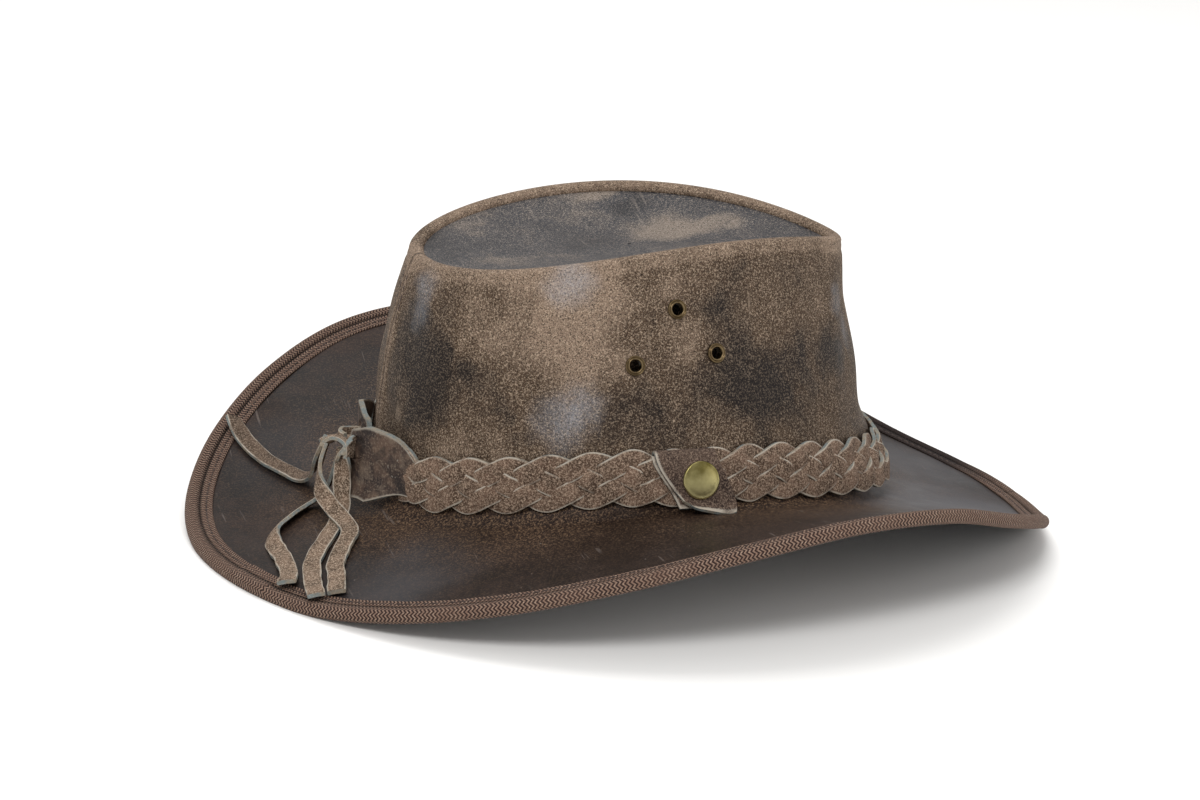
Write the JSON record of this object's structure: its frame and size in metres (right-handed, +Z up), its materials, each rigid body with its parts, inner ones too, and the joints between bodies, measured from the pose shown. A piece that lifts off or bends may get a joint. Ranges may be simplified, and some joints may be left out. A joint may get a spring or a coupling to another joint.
{
  "type": "bush hat",
  "caption": "Leather bush hat with a wide curved brim, a flat tip inside a rolled rim, a plaited hatband tied at the back, and brass eyelets and studs.",
  "frame": {"origin": "on the floor, under the middle of the hat", "axes": "+X to the front of the hat, +Y to the wearer's left, +Z up"},
  "size_m": [0.3456, 0.3104, 0.1272],
  "materials": {
    "crown_leather": "waxed, mottled and worn",
    "tip_leather": "waxed, darker, with pale worn patches",
    "brim_leather": "dark and oily, with fine scratches",
    "binding_tape": "brown twill tape",
    "band_leather": "raw brown face with pale cut edges",
    "lace_leather": "raw brown face with pale cut edges",
    "fittings": "antique brass"
  },
  "bodies": {
    "root": {"crown_side": "crown_leather", "crown_tip": "tip_leather", "brim": "brim_leather", "brim_binding": "binding_tape", "hatband": "band_leather", "lace_knot": "lace_leather", "lace_end_back": "lace_leather", "lace_end_fold": "lace_leather", "lace_end_long": "lace_leather", "lace_end_loop": "lace_leather", "keeper_right": "band_leather", "keeper_left": "band_leather", "press_stud_right": "fittings", "press_stud_left": "fittings", "eyelet_right_1": "fittings", "eyelet_right_2": "fittings", "eyelet_right_3": "fittings", "eyelet_left_1": "fittings", "eyelet_left_2": "fittings", "eyelet_left_3": "fittings"}
  },
  "joints": []
}
